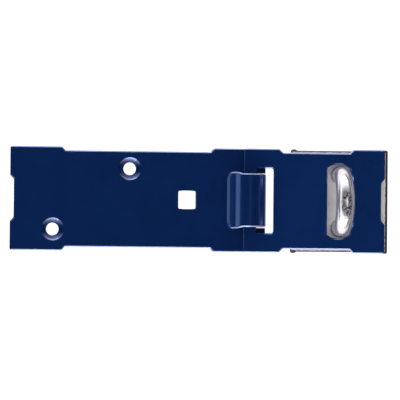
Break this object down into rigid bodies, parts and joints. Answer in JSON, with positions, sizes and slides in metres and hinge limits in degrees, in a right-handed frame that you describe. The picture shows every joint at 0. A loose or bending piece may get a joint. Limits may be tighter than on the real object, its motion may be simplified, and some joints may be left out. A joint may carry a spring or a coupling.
{
  "type": "hasp and staple",
  "caption": "Steel hasp: a fixed leaf whose curled tongue carries a swinging slotted arm, which closes over a riveted round-bar staple on its own plate.",
  "frame": {"origin": "middle of the closed hasp's footprint, on the mounting face", "axes": "+X along the hasp from the fixed leaf to the staple, +Z out of the mounting face"},
  "size_m": [0.1512, 0.0414, 0.0207],
  "materials": {
    "blue_paint": "gloss",
    "zinc_plate": "satin",
    "bright_plate": "gloss"
  },
  "bodies": {
    "mounting": {"fixed_leaf": "blue_paint", "staple_plate": "zinc_plate", "staple": "bright_plate"},
    "arm": {"hinged_arm": "blue_paint"}
  },
  "joints": [
    {"name": "arm_hinge", "type": "hinge", "parent": "mounting", "child": "arm", "pos_m": [0.01845, 0, 0.00395], "axis": [0, -1, 0], "range_deg": [0, 180]}
  ]
}
